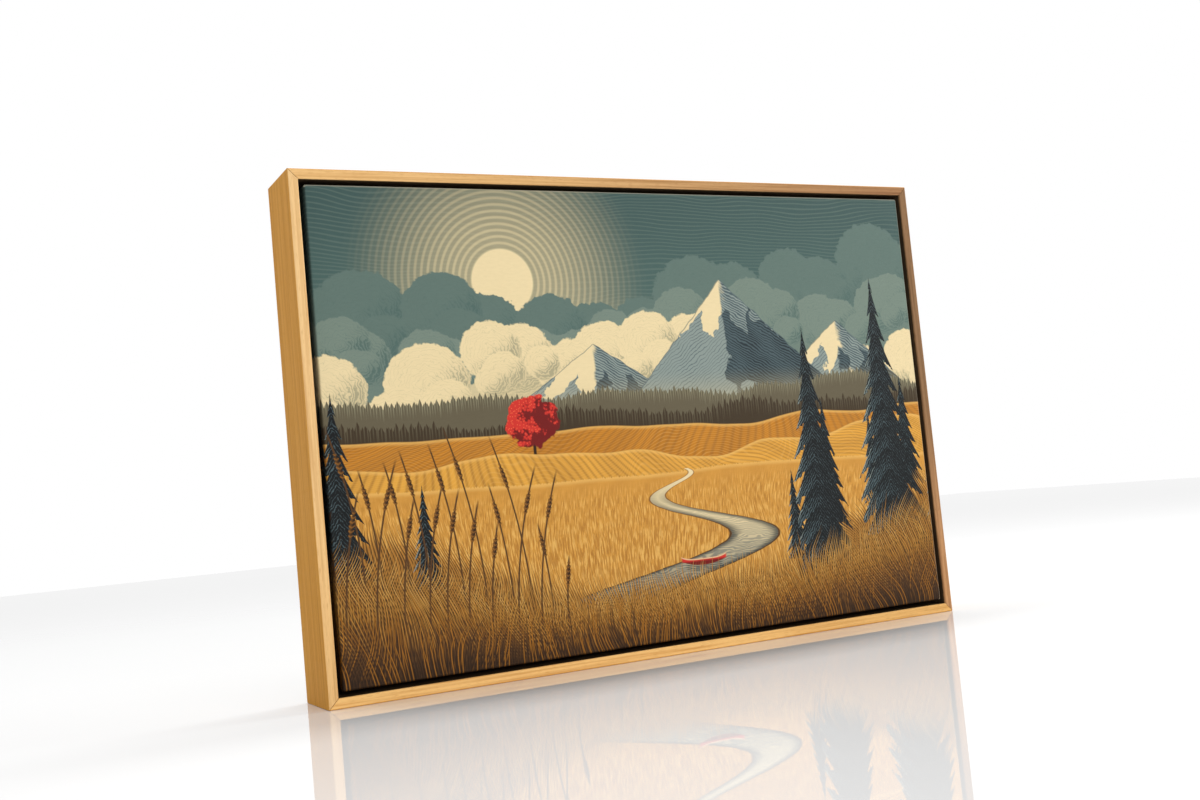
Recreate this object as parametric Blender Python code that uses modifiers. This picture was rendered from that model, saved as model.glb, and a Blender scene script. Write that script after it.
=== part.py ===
"""Framed canvas print: a gallery-wrapped canvas on stretcher bars, screwed into a floater frame.

Metres, +Z up. The front faces -Y. The origin is the centre of the footprint, on the surface that
the frame stands on.
"""

import math

import bmesh
import bpy
from mathutils import Matrix, Vector

# Driving dimensions.
CANVAS_WIDTH = 0.4572  # 18 in
CANVAS_HEIGHT = 0.3048  # 12 in
REVEAL = 0.003175  # the open line round the canvas
FACE_WIDTH = 0.00635  # the moulding seen from the front
FRAME_DEPTH = 0.0508
CANVAS_SETBACK = 0.0008  # how far the canvas lies behind the frame's front

FOOT_WIDTH = 0.022  # the moulding seen from the back
BAR_WIDTH = 0.036
BAR_DEPTH = 0.0381
BEAD_WIDTH = 0.006  # the raised outer edge of a stretcher bar, which alone meets the cloth
BEAD_SLOPE_WIDTH = 0.004
BEAD_HEIGHT = 0.003
BAR_TAPER = 0.002  # how much further the bar's front falls away, at its inner edge

CLOTH = 0.0006
RETURN_WIDTH = 0.030  # the cloth turned over the back of the bars
WRAP_RADIUS = 0.0014

CLEARANCE = 0.0003  # between pieces that touch
EASED_EDGE = 0.0007
BAR_EDGE = 0.0012

SCREW_HEAD_RADIUS = 0.004
SCREW_RADIUS = 0.0019
SCREW_LENGTH = 0.026
SCREW_POINT = 0.004
SCREW_LAND = 0.0004  # the thin straight rim of its head
SCREW_SUNK = 0.0004  # how far the head lies below the back of the frame
SCREW_INSET = 0.0165  # from the moulding's outer side
SCREW_SPAN_X = 0.300
SCREW_SPAN_Z = 0.160

HANGER_LENGTH = 0.046
HANGER_HEIGHT = 0.0095
HANGER_PLATE = 0.0008
HANGER_END = 0.009  # the flat end that takes the nail
HANGER_BOW = 0.0016
HANGER_TEETH = 9
TOOTH_DEPTH = 0.0018
NAIL_RADIUS = 0.0007
NAIL_HEAD_RADIUS = 0.0016
NAIL_HEAD = 0.0006
NAIL_LENGTH = 0.0085

BUMPER_RADIUS = 0.005
BUMPER_HEIGHT = 0.003
BUMPER_EDGE = 0.0009
BUMPER_INSET = 0.011

ARC_STEPS = 3
ROUND_STEPS = 16

# Worked out from them.
FRAME_WIDTH = CANVAS_WIDTH + 2 * (REVEAL + FACE_WIDTH)
FRAME_HEIGHT = CANVAS_HEIGHT + 2 * (REVEAL + FACE_WIDTH)
FRONT_Y = -(FRAME_DEPTH + CLEARANCE + BUMPER_HEIGHT) / 2
BACK_Y = FRONT_Y + FRAME_DEPTH
MIDDLE_Z = FRAME_HEIGHT / 2

CANVAS_FRONT_Y = FRONT_Y + CANVAS_SETBACK
BAR_FRONT_Y = CANVAS_FRONT_Y + CLOTH + CLEARANCE
BAR_BACK_Y = BAR_FRONT_Y + BAR_DEPTH
CANVAS_BACK_Y = BAR_BACK_Y + CLEARANCE + CLOTH
FOOT_FRONT_Y = CANVAS_BACK_Y + CLEARANCE
BAR_FRAME_WIDTH = CANVAS_WIDTH - 2 * (CLOTH + CLEARANCE)
BAR_FRAME_HEIGHT = CANVAS_HEIGHT - 2 * (CLOTH + CLEARANCE)

# (name, turn about +Y that brings the top member to this side)
SIDES = (("top", 0), ("right", 90), ("bottom", 180), ("left", 270))


def clear_scene():
    for obj in list(bpy.data.objects):
        bpy.data.objects.remove(obj, do_unlink=True)


def new_collection(name):
    collection = bpy.data.collections.new(name)
    bpy.context.scene.collection.children.link(collection)
    return collection


def new_material(name, colour, roughness, metallic=0.0):
    material = bpy.data.materials.new(name)
    material.use_nodes = True
    shader = material.node_tree.nodes["Principled BSDF"]
    shader.inputs["Base Color"].default_value = (*colour, 1.0)
    shader.inputs["Roughness"].default_value = roughness
    shader.inputs["Metallic"].default_value = metallic
    return material


def object_from(bm, name, material):
    """Puts the bmesh into an object of the model, or among the cutters when it has no material."""
    bmesh.ops.recalc_face_normals(bm, faces=bm.faces)
    mesh = bpy.data.meshes.new(name)
    bm.to_mesh(mesh)
    bm.free()
    return place(mesh, name, material)


def place(mesh, name, material):
    obj = bpy.data.objects.new(name, mesh)
    if material:
        mesh.materials.append(material)
        MODEL.objects.link(obj)
    else:
        obj.hide_render = True
        obj.display_type = "WIRE"
        CUTTERS.objects.link(obj)
    return obj


def box(name, low, high, material=None):
    low, high = Vector(low), Vector(high)
    bm = bmesh.new()
    bmesh.ops.create_cube(bm, size=1.0, matrix=Matrix.Diagonal((*(high - low), 1.0)))
    bmesh.ops.translate(bm, verts=bm.verts, vec=(low + high) / 2)
    return object_from(bm, name, material)


def bevel(obj, width, segments):
    modifier = obj.modifiers.new("eased_edges", "BEVEL")
    modifier.width = width
    modifier.segments = segments
    modifier.limit_method = "ANGLE"
    modifier.angle_limit = math.radians(40)


def cut(obj, name, cutter=None, cutters=None):
    modifier = obj.modifiers.new(name, "BOOLEAN")
    modifier.operation = "DIFFERENCE"
    modifier.solver = "EXACT"
    if cutters:
        modifier.operand_type = "COLLECTION"
        modifier.collection = cutters
    else:
        modifier.object = cutter


def turned(name, profile, material=None):
    """Turns (radius, height) points, from the top of the axis to its foot, about the Z axis."""
    mesh = bpy.data.meshes.new(name)
    steps = range(len(profile) - 1)
    mesh.from_pydata([(r, 0.0, z) for r, z in profile], [(n, n + 1) for n in steps], [])
    obj = place(mesh, name, material)
    screw = obj.modifiers.new("turned", "SCREW")
    screw.axis = "Z"
    screw.steps = screw.render_steps = ROUND_STEPS
    screw.use_merge_vertices = True
    screw.merge_threshold = 0.00001
    screw.use_smooth_shade = False
    return obj


def face_back(obj, x, y, z):
    """Stands a turned piece on the back of the frame, its top facing +Y."""
    obj.location = (x, y, z)
    obj.rotation_euler = (math.radians(-90), 0, 0)


def eased(corners):
    """Each corner is (inward, depth, radius). Corners with a radius become arcs."""
    points = []
    for n, (inward, depth, radius) in enumerate(corners):
        corner = Vector((inward, depth))
        if not radius:
            points.append(corner)
            continue
        before = (Vector(corners[n - 1][:2]) - corner).normalized()
        after = (Vector(corners[(n + 1) % len(corners)][:2]) - corner).normalized()
        half_angle = before.angle(after) / 2
        centre = corner + (before + after).normalized() * radius / math.sin(half_angle)
        start = corner + before * radius / math.tan(half_angle) - centre
        end = corner + after * radius / math.tan(half_angle) - centre
        for step in range(ARC_STEPS + 1):
            share = step / ARC_STEPS
            points.append(centre + start.slerp(end, share).normalized() * radius)
    return points


def mitred_member(name, length, corners, material):
    """A top member: the section (inward, depth) run along X, with both ends cut at 45 degrees."""
    bm = bmesh.new()
    section = [bm.verts.new((-length / 2, depth, -inward)) for inward, depth in eased(corners)]
    face = bm.faces.new(section)
    moved = bmesh.ops.extrude_face_region(bm, geom=[face])["geom"]
    moved = [item for item in moved if isinstance(item, bmesh.types.BMVert)]
    bmesh.ops.translate(bm, verts=moved, vec=(length, 0, 0))
    for end in (-1, 1):
        normal = Vector((end, 0, -1)).normalized()
        mitre = Vector((end * length / 2, 0, 0)) - normal * CLEARANCE / 2
        everything = bm.verts[:] + bm.edges[:] + bm.faces[:]
        bmesh.ops.bisect_plane(
            bm, geom=everything, plane_co=mitre, plane_no=normal, clear_outer=True
        )
        open_edges = [edge for edge in bm.edges if edge.is_boundary]
        bmesh.ops.contextual_create(bm, geom=open_edges)
    return object_from(bm, name, material)


def four_sided(prefix, width, height, corners, material):
    """Four mitred members round a rectangle of that width and height, centred on the canvas."""
    members = []
    for side, turn in SIDES:
        upright = turn % 180 == 90
        length, reach = (height, width) if upright else (width, height)
        member = mitred_member(f"{prefix}_{side}", length, corners, material)
        turned_to_side = Matrix.Rotation(math.radians(turn), 4, "Y")
        member.matrix_world = (
            Matrix.Translation((0, 0, MIDDLE_Z))
            @ turned_to_side
            @ Matrix.Translation((0, 0, reach / 2))
        )
        members.append(member)
    return members


def make_frame(material):
    """L-section mouldings: a thin outer wall, and a foot behind the canvas."""
    corners = (
        (0, FRONT_Y, EASED_EDGE),
        (FACE_WIDTH, FRONT_Y, EASED_EDGE),
        (FACE_WIDTH, FOOT_FRONT_Y, 0),
        (FOOT_WIDTH, FOOT_FRONT_Y, EASED_EDGE),
        (FOOT_WIDTH, BACK_Y, EASED_EDGE),
        (0, BACK_Y, EASED_EDGE),
    )
    return four_sided("frame", FRAME_WIDTH, FRAME_HEIGHT, corners, material)


def make_bars(material):
    """Stretcher bars, whose raised outer bead holds the cloth clear of the rest."""
    slope_end = BEAD_WIDTH + BEAD_SLOPE_WIDTH
    corners = (
        (0, BAR_FRONT_Y, BAR_EDGE),
        (BEAD_WIDTH, BAR_FRONT_Y, BAR_EDGE),
        (slope_end, BAR_FRONT_Y + BEAD_HEIGHT, 0),
        (BAR_WIDTH, BAR_FRONT_Y + BEAD_HEIGHT + BAR_TAPER, EASED_EDGE),
        (BAR_WIDTH, BAR_BACK_Y, EASED_EDGE),
        (0, BAR_BACK_Y, BAR_EDGE),
    )
    return four_sided("bar", BAR_FRAME_WIDTH, BAR_FRAME_HEIGHT, corners, material)


def canvas_box(name, inset, front, back, material=None):
    half_width = CANVAS_WIDTH / 2 - inset
    half_height = CANVAS_HEIGHT / 2 - inset
    low = (-half_width, front, MIDDLE_Z - half_height)
    high = (half_width, back, MIDDLE_Z + half_height)
    return box(name, low, high, material)


def make_canvas(material):
    """The stretched cloth: front, four sides and the returns over the back of the bars."""
    canvas = canvas_box("canvas", 0, CANVAS_FRONT_Y, CANVAS_BACK_Y, material)
    bevel(canvas, WRAP_RADIUS, ARC_STEPS)
    inside = canvas_box("canvas_inside", CLOTH, CANVAS_FRONT_Y + CLOTH, CANVAS_BACK_Y - CLOTH)
    bevel(inside, WRAP_RADIUS - CLOTH, ARC_STEPS)
    past_back = BACK_Y + CLOTH
    window = canvas_box("canvas_window", RETURN_WIDTH, BAR_BACK_Y - CLOTH, past_back)
    cut(canvas, "inside", inside)
    cut(canvas, "window", window)
    return canvas


def screw_places():
    """(name, x, z) of each screw, on the centre line of the feet."""
    reach_x = FRAME_WIDTH / 2 - SCREW_INSET
    reach_z = FRAME_HEIGHT / 2 - SCREW_INSET
    places = []
    for level, sign_z in (("top", 1), ("bottom", -1)):
        for side, sign_x in (("left", -1), ("right", 1)):
            x = sign_x * SCREW_SPAN_X / 2
            places.append((f"screw_{level}_{side}", x, MIDDLE_Z + sign_z * reach_z))
    for side, sign_x in (("left", -1), ("right", 1)):
        for level, sign_z in (("high", 1), ("low", -1)):
            z = MIDDLE_Z + sign_z * SCREW_SPAN_Z / 2
            places.append((f"screw_{side}_{level}", sign_x * reach_x, z))
    return places


def screw_profile(grow, above):
    """A countersunk screw's outline, grown by the clearance for its hole."""
    rim = SCREW_RADIUS + grow
    head = SCREW_HEAD_RADIUS + grow
    land = -SCREW_LAND - grow
    return [
        (0, above),
        (head, above),
        (head, land),
        (rim, land - (head - rim)),
        (rim, SCREW_POINT - SCREW_LENGTH - grow),
        (0, -SCREW_LENGTH - grow),
    ]


def make_screws(members, material):
    holes = new_collection("screw_holes")
    holes.hide_render = True
    for name, x, z in screw_places():
        screw = turned(name, screw_profile(0, 0), material)
        face_back(screw, x, BACK_Y - SCREW_SUNK, z)
        hole = turned(name + "_hole", screw_profile(CLEARANCE, SCREW_LENGTH / 4))
        face_back(hole, x, BACK_Y - SCREW_SUNK, z)
        holes.objects.link(hole)
    for member in members:
        cut(member, "screw_holes", cutters=holes)


def hanger_columns():
    """(x, lower edge, bow) along the toothed strip, from left to right."""
    toothed = HANGER_LENGTH / 2 - HANGER_END
    pitch = 2 * toothed / HANGER_TEETH
    low = -HANGER_HEIGHT / 2
    columns = [(-HANGER_LENGTH / 2, low, 0.0)]
    for n in range(2 * HANGER_TEETH + 1):
        x = -toothed + n * pitch / 2
        rise = math.sin(math.pi * n / (2 * HANGER_TEETH)) ** 0.5
        columns.append((x, low + TOOTH_DEPTH * (n % 2), HANGER_BOW * rise))
    columns.append((HANGER_LENGTH / 2, low, 0.0))
    return columns


def make_hanger(frame_top, plate_material, nail_material):
    """A bowed sawtooth hanger nailed to the back of the top moulding."""
    z = FRAME_HEIGHT - FOOT_WIDTH / 2
    inner_y = BACK_Y + CLEARANCE
    bm = bmesh.new()
    pairs = []
    for x, low, bow in hanger_columns():
        y = inner_y + bow
        pairs.append([bm.verts.new((x, y, z + end)) for end in (low, HANGER_HEIGHT / 2)])
    for (low_a, high_a), (low_b, high_b) in zip(pairs, pairs[1:]):
        bm.faces.new((low_a, high_a, high_b, low_b))
    hanger = object_from(bm, "hanger", plate_material)
    plate = hanger.modifiers.new("plate", "SOLIDIFY")
    plate.thickness = HANGER_PLATE
    plate.offset = 1.0 if hanger.data.polygons[0].normal.y > 0 else -1.0
    nail_y = inner_y + HANGER_PLATE + CLEARANCE
    for side, sign in (("left", -1), ("right", 1)):
        x = sign * (HANGER_LENGTH - HANGER_END) / 2
        top = NAIL_HEAD
        shank = NAIL_RADIUS
        profile = [(0, top), (NAIL_HEAD_RADIUS, top / 2), (NAIL_HEAD_RADIUS, 0), (shank, 0)]
        profile += [(shank, 2 * shank - NAIL_LENGTH), (0, -NAIL_LENGTH)]
        nail = turned(f"hanger_nail_{side}", profile, nail_material)
        face_back(nail, x, nail_y, z)
        bore = shank + CLEARANCE
        depth = -NAIL_LENGTH - CLEARANCE
        hole = turned(f"hanger_hole_{side}", [(0, top), (bore, top), (bore, depth), (0, depth)])
        face_back(hole, x, nail_y, z)
        cut(hanger, f"hole_{side}", hole)
        cut(frame_top, f"nail_hole_{side}", hole)


def make_bumpers(material):
    """Rubber pads that keep the lower corners off the wall."""
    x = FRAME_WIDTH / 2 - BUMPER_INSET
    round_edge = []
    for step in range(ARC_STEPS + 1):
        angle = math.pi / 2 * (1 - step / ARC_STEPS)
        radius = BUMPER_RADIUS - BUMPER_EDGE * (1 - math.cos(angle))
        height = BUMPER_HEIGHT - BUMPER_EDGE * (1 - math.sin(angle))
        round_edge.append((radius, height))
    profile = [(0, BUMPER_HEIGHT), *round_edge, (BUMPER_RADIUS, 0), (0, 0)]
    for side, sign in (("left", -1), ("right", 1)):
        bumper = turned(f"bumper_{side}", profile, material)
        face_back(bumper, sign * x, BACK_Y + CLEARANCE, BUMPER_INSET)


clear_scene()
MODEL = new_collection("framed_canvas_print")
CUTTERS = new_collection("cutters")
CUTTERS.hide_render = True

light_wood = new_material("light_wood", (0.70, 0.45, 0.20), 0.45)
pine = new_material("pine", (0.72, 0.52, 0.30), 0.7)
cloth = new_material("printed_canvas", (0.42, 0.24, 0.08), 0.75)
bright_steel = new_material("bright_steel", (0.62, 0.62, 0.63), 0.3, 1.0)
zinc_steel = new_material("zinc_steel", (0.66, 0.60, 0.45), 0.35, 1.0)
rubber = new_material("rubber", (0.03, 0.03, 0.03), 0.8)

frame_members = make_frame(light_wood)
bar_members = make_bars(pine)
canvas_cloth = make_canvas(cloth)
make_screws([*frame_members, *bar_members, canvas_cloth], zinc_steel)
make_hanger(frame_members[0], bright_steel, bright_steel)
make_bumpers(rubber)
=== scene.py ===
"""The looks of a framed canvas print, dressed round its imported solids.

Metres, +Z up. The picture faces -Y and stands on its bottom edge. The printed landscape, the
cloth, the wood and the fittings are all worked out here, with no picture files.
"""

import math

import bmesh
import bpy
from mathutils import Matrix, Vector


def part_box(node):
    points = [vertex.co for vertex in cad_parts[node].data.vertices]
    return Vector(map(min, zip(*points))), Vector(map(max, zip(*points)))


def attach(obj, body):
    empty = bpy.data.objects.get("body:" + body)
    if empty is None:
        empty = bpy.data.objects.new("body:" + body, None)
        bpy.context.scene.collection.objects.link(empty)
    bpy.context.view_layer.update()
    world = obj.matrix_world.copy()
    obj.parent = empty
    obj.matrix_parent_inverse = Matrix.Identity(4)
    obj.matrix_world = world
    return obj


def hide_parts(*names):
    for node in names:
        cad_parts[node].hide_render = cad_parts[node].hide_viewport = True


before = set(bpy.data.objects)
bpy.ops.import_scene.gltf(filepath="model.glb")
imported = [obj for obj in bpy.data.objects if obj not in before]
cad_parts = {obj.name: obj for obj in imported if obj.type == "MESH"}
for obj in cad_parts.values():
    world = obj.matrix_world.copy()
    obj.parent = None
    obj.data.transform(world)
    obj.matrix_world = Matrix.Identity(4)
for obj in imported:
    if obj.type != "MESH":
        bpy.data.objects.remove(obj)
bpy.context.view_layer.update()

SIDES = ("top", "right", "bottom", "left")

FIT = 0.0003  # the gap between two solids that touch
FACE_WIDTH = 0.00635  # the moulding seen from the front

# Where things are, taken from the solids.
OUTER_LOW, OUTER_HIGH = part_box("frame_left")[0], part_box("frame_right")[1]
CANVAS_LOW, CANVAS_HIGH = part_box("canvas")
FRONT = OUTER_LOW.y
FRAME_BACK = OUTER_HIGH.y
MIDDLE_Z = (OUTER_LOW.z + OUTER_HIGH.z) / 2
FOOT_WIDTH = OUTER_HIGH.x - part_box("frame_right")[0].x
FOOT_FRONT = CANVAS_HIGH.y + FIT
HALF_WIDTH = CANVAS_HIGH.x
HALF_HEIGHT = (CANVAS_HIGH.z - CANVAS_LOW.z) / 2
CANVAS_HEIGHT = 2 * HALF_HEIGHT

# The cloth.
CLOTH = 0.0006
WRAP_RADIUS = 0.0014
RETURN_WIDTH = 0.030
THREAD_PITCH = 0.00062
PRINTED_WRAP = 0.052  # how far the print runs on past the edge
ARC_STEPS = 4
SIDE_STEPS = 8
RETURN_STEPS = 20
CORNER_STEPS = 2
COLUMN_PITCH = 0.006
FOOT_OVER_CANVAS = FOOT_WIDTH - (OUTER_HIGH.x - HALF_WIDTH)
FOLD_RISE = 0.00075
FOLD_LENGTH = 0.030
FOLD_SLOPE = 0.0016  # how far it takes to rise behind the foot
FOLD_OVERLAP = 0.0016

# The fittings. What lies inward does so from the edge of the canvas or the frame.
STAPLE_CROWN = 0.0100
STAPLE_LEG = 0.0030
STAPLE_BEND = 0.0006
STAPLE_WIDTH = 0.0011
STAPLE_THICKNESS = 0.0005
STAPLE_MIDDLE = STAPLE_THICKNESS * 0.4  # over the cloth
STAPLE_INWARD = 0.0215
STAPLE_SPACING = 0.032
CORNER_STAPLE_INWARD = (0.0205, 0.0265)
SCREW_HEAD_RADIUS = 0.004
SCREW_RADIUS = 0.0019
SCREW_LENGTH = 0.026
SCREW_POINT = 0.004
SCREW_LAND = 0.0004
SCREW_BEVEL = 0.0002
SCREW_SIDES = 28
CROSS_ARM = 0.0022
CROSS_WIDTH = 0.0008
CROSS_DEPTH = 0.0016
CROSS_TAPER = 0.35
THREAD_THICKNESS = 0.00018
THREAD_SPACING = 0.0021
MITRE_NAIL = 0.0075
MITRE_NAIL_BEND = 0.0008
MITRE_NAIL_WIDTH = 0.006
MITRE_NAIL_THICKNESS = 0.00045
MITRE_NAIL_INWARD = (0.0062, 0.0148)
MITRE_NAIL_DEPTH = 0.0029  # of its middle, from the back of the frame
GLUE_INSET = 0.00028
GLUE_THICKNESS = 0.0002

# The signs of X and Z at the four corners of a rectangle, in turn.
CORNERS = ((1, 1), (1, -1), (-1, -1), (-1, 1))


def ink(red, green, blue):
    """A colour, from screen levels of 0 to 255."""
    return tuple(((level / 255 + 0.055) / 1.055) ** 2.4 for level in (red, green, blue))


# Material nodes


def arithmetic(operation, turned=False):
    """A method that adds a Math node. Its two values change places when it is turned."""

    def method(self, other):
        values = (other, self) if turned else (self, other)
        return self.tree.math(operation, *values)

    return method


class Wire:
    """A number, colour or place that a node gives. Arithmetic on it adds Math nodes."""

    __add__ = arithmetic("ADD")
    __sub__ = arithmetic("SUBTRACT")
    __mul__ = arithmetic("MULTIPLY")
    __truediv__ = arithmetic("DIVIDE")
    __pow__ = arithmetic("POWER")
    __gt__ = arithmetic("GREATER_THAN")
    __radd__ = arithmetic("ADD", turned=True)
    __rsub__ = arithmetic("SUBTRACT", turned=True)
    __rmul__ = arithmetic("MULTIPLY", turned=True)

    def __init__(self, tree, socket):
        self.tree = tree
        self.socket = socket

    def __neg__(self):
        return self.tree.math("MULTIPLY", self, -1.0)

    def __abs__(self):
        return self.tree.math("ABSOLUTE", self)


class Tree:
    """A node tree, and the tools that build it."""

    def __init__(self, tree):
        self.tree = tree

    def node(self, kind, settings=None, sockets=None):
        """A node of that kind, with its settings made first and then its sockets fed."""
        made = self.tree.nodes.new(kind)
        for name, value in (settings or {}).items():
            setattr(made, name, value)
        for name, value in (sockets or {}).items():
            self.feed(made.inputs[name], value)
        return made

    def feed(self, socket, value):
        if isinstance(value, Wire):
            self.tree.links.new(value.socket, socket)
        elif isinstance(value, tuple) and socket.type == "RGBA":
            socket.default_value = (*value[:3], 1.0)
        else:
            socket.default_value = value

    def wire(self, kind, settings=None, sockets=None, output=0):
        return Wire(self, self.node(kind, settings, sockets).outputs[output])

    def math(self, operation, *values):
        return self.wire("ShaderNodeMath", {"operation": operation}, dict(enumerate(values)))

    def split(self, place):
        made = self.node("ShaderNodeSeparateXYZ", {}, {0: place})
        return [Wire(self, output) for output in made.outputs]

    def point(self, x, y, z=0.0):
        return self.wire("ShaderNodeCombineXYZ", {}, {0: x, 1: y, 2: z})


class Pattern(Tree):
    """A node tree with the shapes and noises that a pattern is built with."""

    def linear(self, value, low, high, to_low=0.0, to_high=1.0, way="LINEAR"):
        sockets = {"Value": value, "From Min": low, "From Max": high}
        sockets |= {"To Min": to_low, "To Max": to_high}
        return self.wire("ShaderNodeMapRange", {"interpolation_type": way}, sockets)

    def smooth(self, value, low, high):
        return self.linear(value, low, high, way="SMOOTHSTEP")

    def smallest(self, first, second):
        return self.math("MINIMUM", first, second)

    def largest(self, first, second):
        return self.math("MAXIMUM", first, second)

    def fraction(self, value):
        return self.math("FRACT", value)

    def whole(self, value):
        return self.math("FLOOR", value)

    def sine(self, value):
        return self.math("SINE", value)

    def distance(self, x, y):
        return self.math("SQRT", x * x + y * y)

    def wave(self, value):
        """A triangle wave of period 1, from 0 to 1."""
        return self.math("PINGPONG", value, 0.5) * 2.0

    def noise(self, x, y=None, z=None, scale=1.0, detail=2.0):
        dimensions = "1D" if y is None else "2D" if z is None else "3D"
        sockets = {"Scale": scale, "Detail": detail}
        if y is None:
            sockets["W"] = x
        else:
            sockets["Vector"] = self.point(x, y, 0.0 if z is None else z)
        return self.wire("ShaderNodeTexNoise", {"noise_dimensions": dimensions}, sockets)

    def cells(self, x, y, scale):
        """The distance to the nearest of many scattered points."""
        sockets = {"Vector": self.point(x, y), "Scale": scale}
        return self.wire("ShaderNodeTexVoronoi", {"voronoi_dimensions": "2D"}, sockets)

    def random(self, value, count=3):
        """Two or three random numbers from 0 to 1 for each whole value.

        Each output of the nodes is used, because an unused one still takes room.
        """
        made = self.node("ShaderNodeTexWhiteNoise", {"noise_dimensions": "1D"}, {"W": value})
        plain, colour = (Wire(self, made.outputs[name]) for name in ("Value", "Color"))
        parts = self.node("ShaderNodeSeparateColor", {}, {0: colour})
        red, green, blue = (Wire(self, output) for output in parts.outputs)
        if count == 2:
            return self.fraction(red + plain), self.fraction(green + blue)
        return red, green, self.fraction(blue + plain)

    def mix(self, under, over, share):
        sockets = {0: share, 6: under, 7: over}  # the factor and the two colours
        return self.wire("ShaderNodeMix", {"data_type": "RGBA"}, sockets, output=2)

    def inside(self, value, edge=0.0012):
        """1 where value is over 0, with a soft edge."""
        return self.linear(value, -edge, edge)

    def lines(self, value, share, soft=0.22):
        """Engraved lines, one for each whole step of value, share of a step wide."""
        return self.linear(self.wave(value), share + soft, share - soft)

    def relief(self, height, strength, distance):
        sockets = {"Height": height, "Strength": strength, "Distance": distance}
        return self.wire("ShaderNodeBump", {}, sockets)


class Finish(Pattern):
    """One material. x, y and z are places on the object."""

    def __init__(self, name):
        self.material = bpy.data.materials.new(name)
        self.material.use_nodes = True
        super().__init__(self.material.node_tree)
        self.shader = self.tree.nodes["Principled BSDF"]
        self.x, self.y, self.z = self.split(self.wire("ShaderNodeTexCoord", output=3))

    def speckle(self, scale, detail=2.0):
        """Noise through the whole object."""
        return self.noise(self.x, self.y, self.z, scale=scale, detail=detail)

    def finished(self, **sockets):
        """Feeds the shader, each socket by its name with spaces as underscores."""
        for name, value in sockets.items():
            self.feed(self.shader.inputs[name.replace("_", " ")], value)
        return self.material


class Group(Pattern):
    """A node group. given holds what it is fed, by name."""

    def __init__(self, name, kind, result, fed):
        super().__init__(bpy.data.node_groups.new(name, kind))
        sockets = (("Result", result, "OUTPUT"), *((*socket, "INPUT") for socket in fed))
        for socket, holds, side in sockets:
            self.tree.interface.new_socket(socket, in_out=side, socket_type="NodeSocket" + holds)
        self.given = {s.name: Wire(self, s) for s in self.node("NodeGroupInput").outputs}


# Finishes

COTTON = ink(226, 214, 188)
COTTON_SHADE = ink(196, 180, 148)


def weave(finish, u, v):
    """(height, thread tone) of a plain weave, one thread over and one under. The tone is lower in
    the hollows between the threads, which is painted shade, and varies with the slubs.
    """
    across = u * (1.0 / THREAD_PITCH)
    up = v * (1.0 / THREAD_PITCH)
    wander = finish.noise(u, v, scale=900.0, detail=1.0) - 0.5
    warp = finish.wave(across + wander * 0.25)
    weft = finish.wave(up - wander * 0.25)
    turn = finish.fraction((finish.whole(across) + finish.whole(up)) * 0.5) > 0.25
    over = warp * turn + weft * (1.0 - turn)
    slubs = finish.noise(u * 0.3, v, scale=700.0)
    return over * 0.7 + warp * weft * 0.3 + slubs * 0.5, over * 0.5 + slubs * 0.5


def cloth_places(finish):
    uv = finish.node("ShaderNodeUVMap", {"uv_map": "cloth"}).outputs[0]
    return finish.split(Wire(finish, uv))[:2]


def mirrored(finish, place, edge):
    """Past the edge of the front, the print turns back on itself."""
    past = finish.largest(abs(place) - edge, 0.0)
    side = finish.math("SIGN", place)
    return place - side * past * 2.0


def raw_cotton():
    finish = Finish("raw_cotton")
    u, v = cloth_places(finish)
    height, thread = weave(finish, u, v)
    stain = finish.noise(u, v, scale=9.0, detail=3.0)
    # Darker in the hollows between the threads, painted shade, and with the slubs.
    colour = finish.mix(COTTON_SHADE, COTTON, finish.smooth(thread, 0.0, 0.7))
    colour = finish.mix(colour, COTTON_SHADE, finish.smooth(stain, 0.45, 0.75) * 0.35)
    flecks = finish.noise(u * 0.4, v, scale=1500.0, detail=1.0)
    colour = finish.mix(colour, ink(150, 120, 78), finish.smooth(flecks, 0.72, 0.80) * 0.6)
    return finish.finished(
        Base_Color=colour,
        Roughness=0.92,
        Normal=finish.relief(height, 0.6, 0.00025),
        Sheen_Weight=0.15,
    )


def wood_places(finish, side):
    """(place along a piece of wood on that side, place across it)."""
    return (finish.z, finish.x) if side in ("left", "right") else (finish.x, finish.z)


def grain(finish, along, across, depth, seed):
    """(streaks, rings, pores) of straight-grained wood, each from 0 to 1."""
    sway = finish.noise(along * 5.0 + seed, across * 30.0, depth * 30.0, detail=1.0) - 0.5
    streaks = finish.noise(along * 11.0 + seed, across * 520.0, depth * 520.0, detail=3.0)
    lean = across * 0.82 + depth * 0.57 + sway * 0.0045
    rings = finish.noise(along * 2.0 + seed, lean * 430.0, seed)
    pores = finish.noise(along * 190.0 + seed, across * 3100.0, depth * 3100.0, detail=0.0)
    return streaks, rings, finish.smooth(pores, 0.62, 0.74)


def paint_mask(finish, inward):
    """1 on the moulding's inner wall and on the front of its foot, which are painted black."""
    ragged = (finish.speckle(260.0) - 0.5) * 0.0005
    past_face = finish.inside(inward - (FACE_WIDTH - 0.0004), 0.00004)
    below_edge = finish.inside(finish.y + ragged - FRONT - 0.0011, 0.00012)
    before_foot = finish.inside(FOOT_FRONT + FIT - finish.y, 0.00005)
    return past_face * below_edge * before_foot


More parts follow.
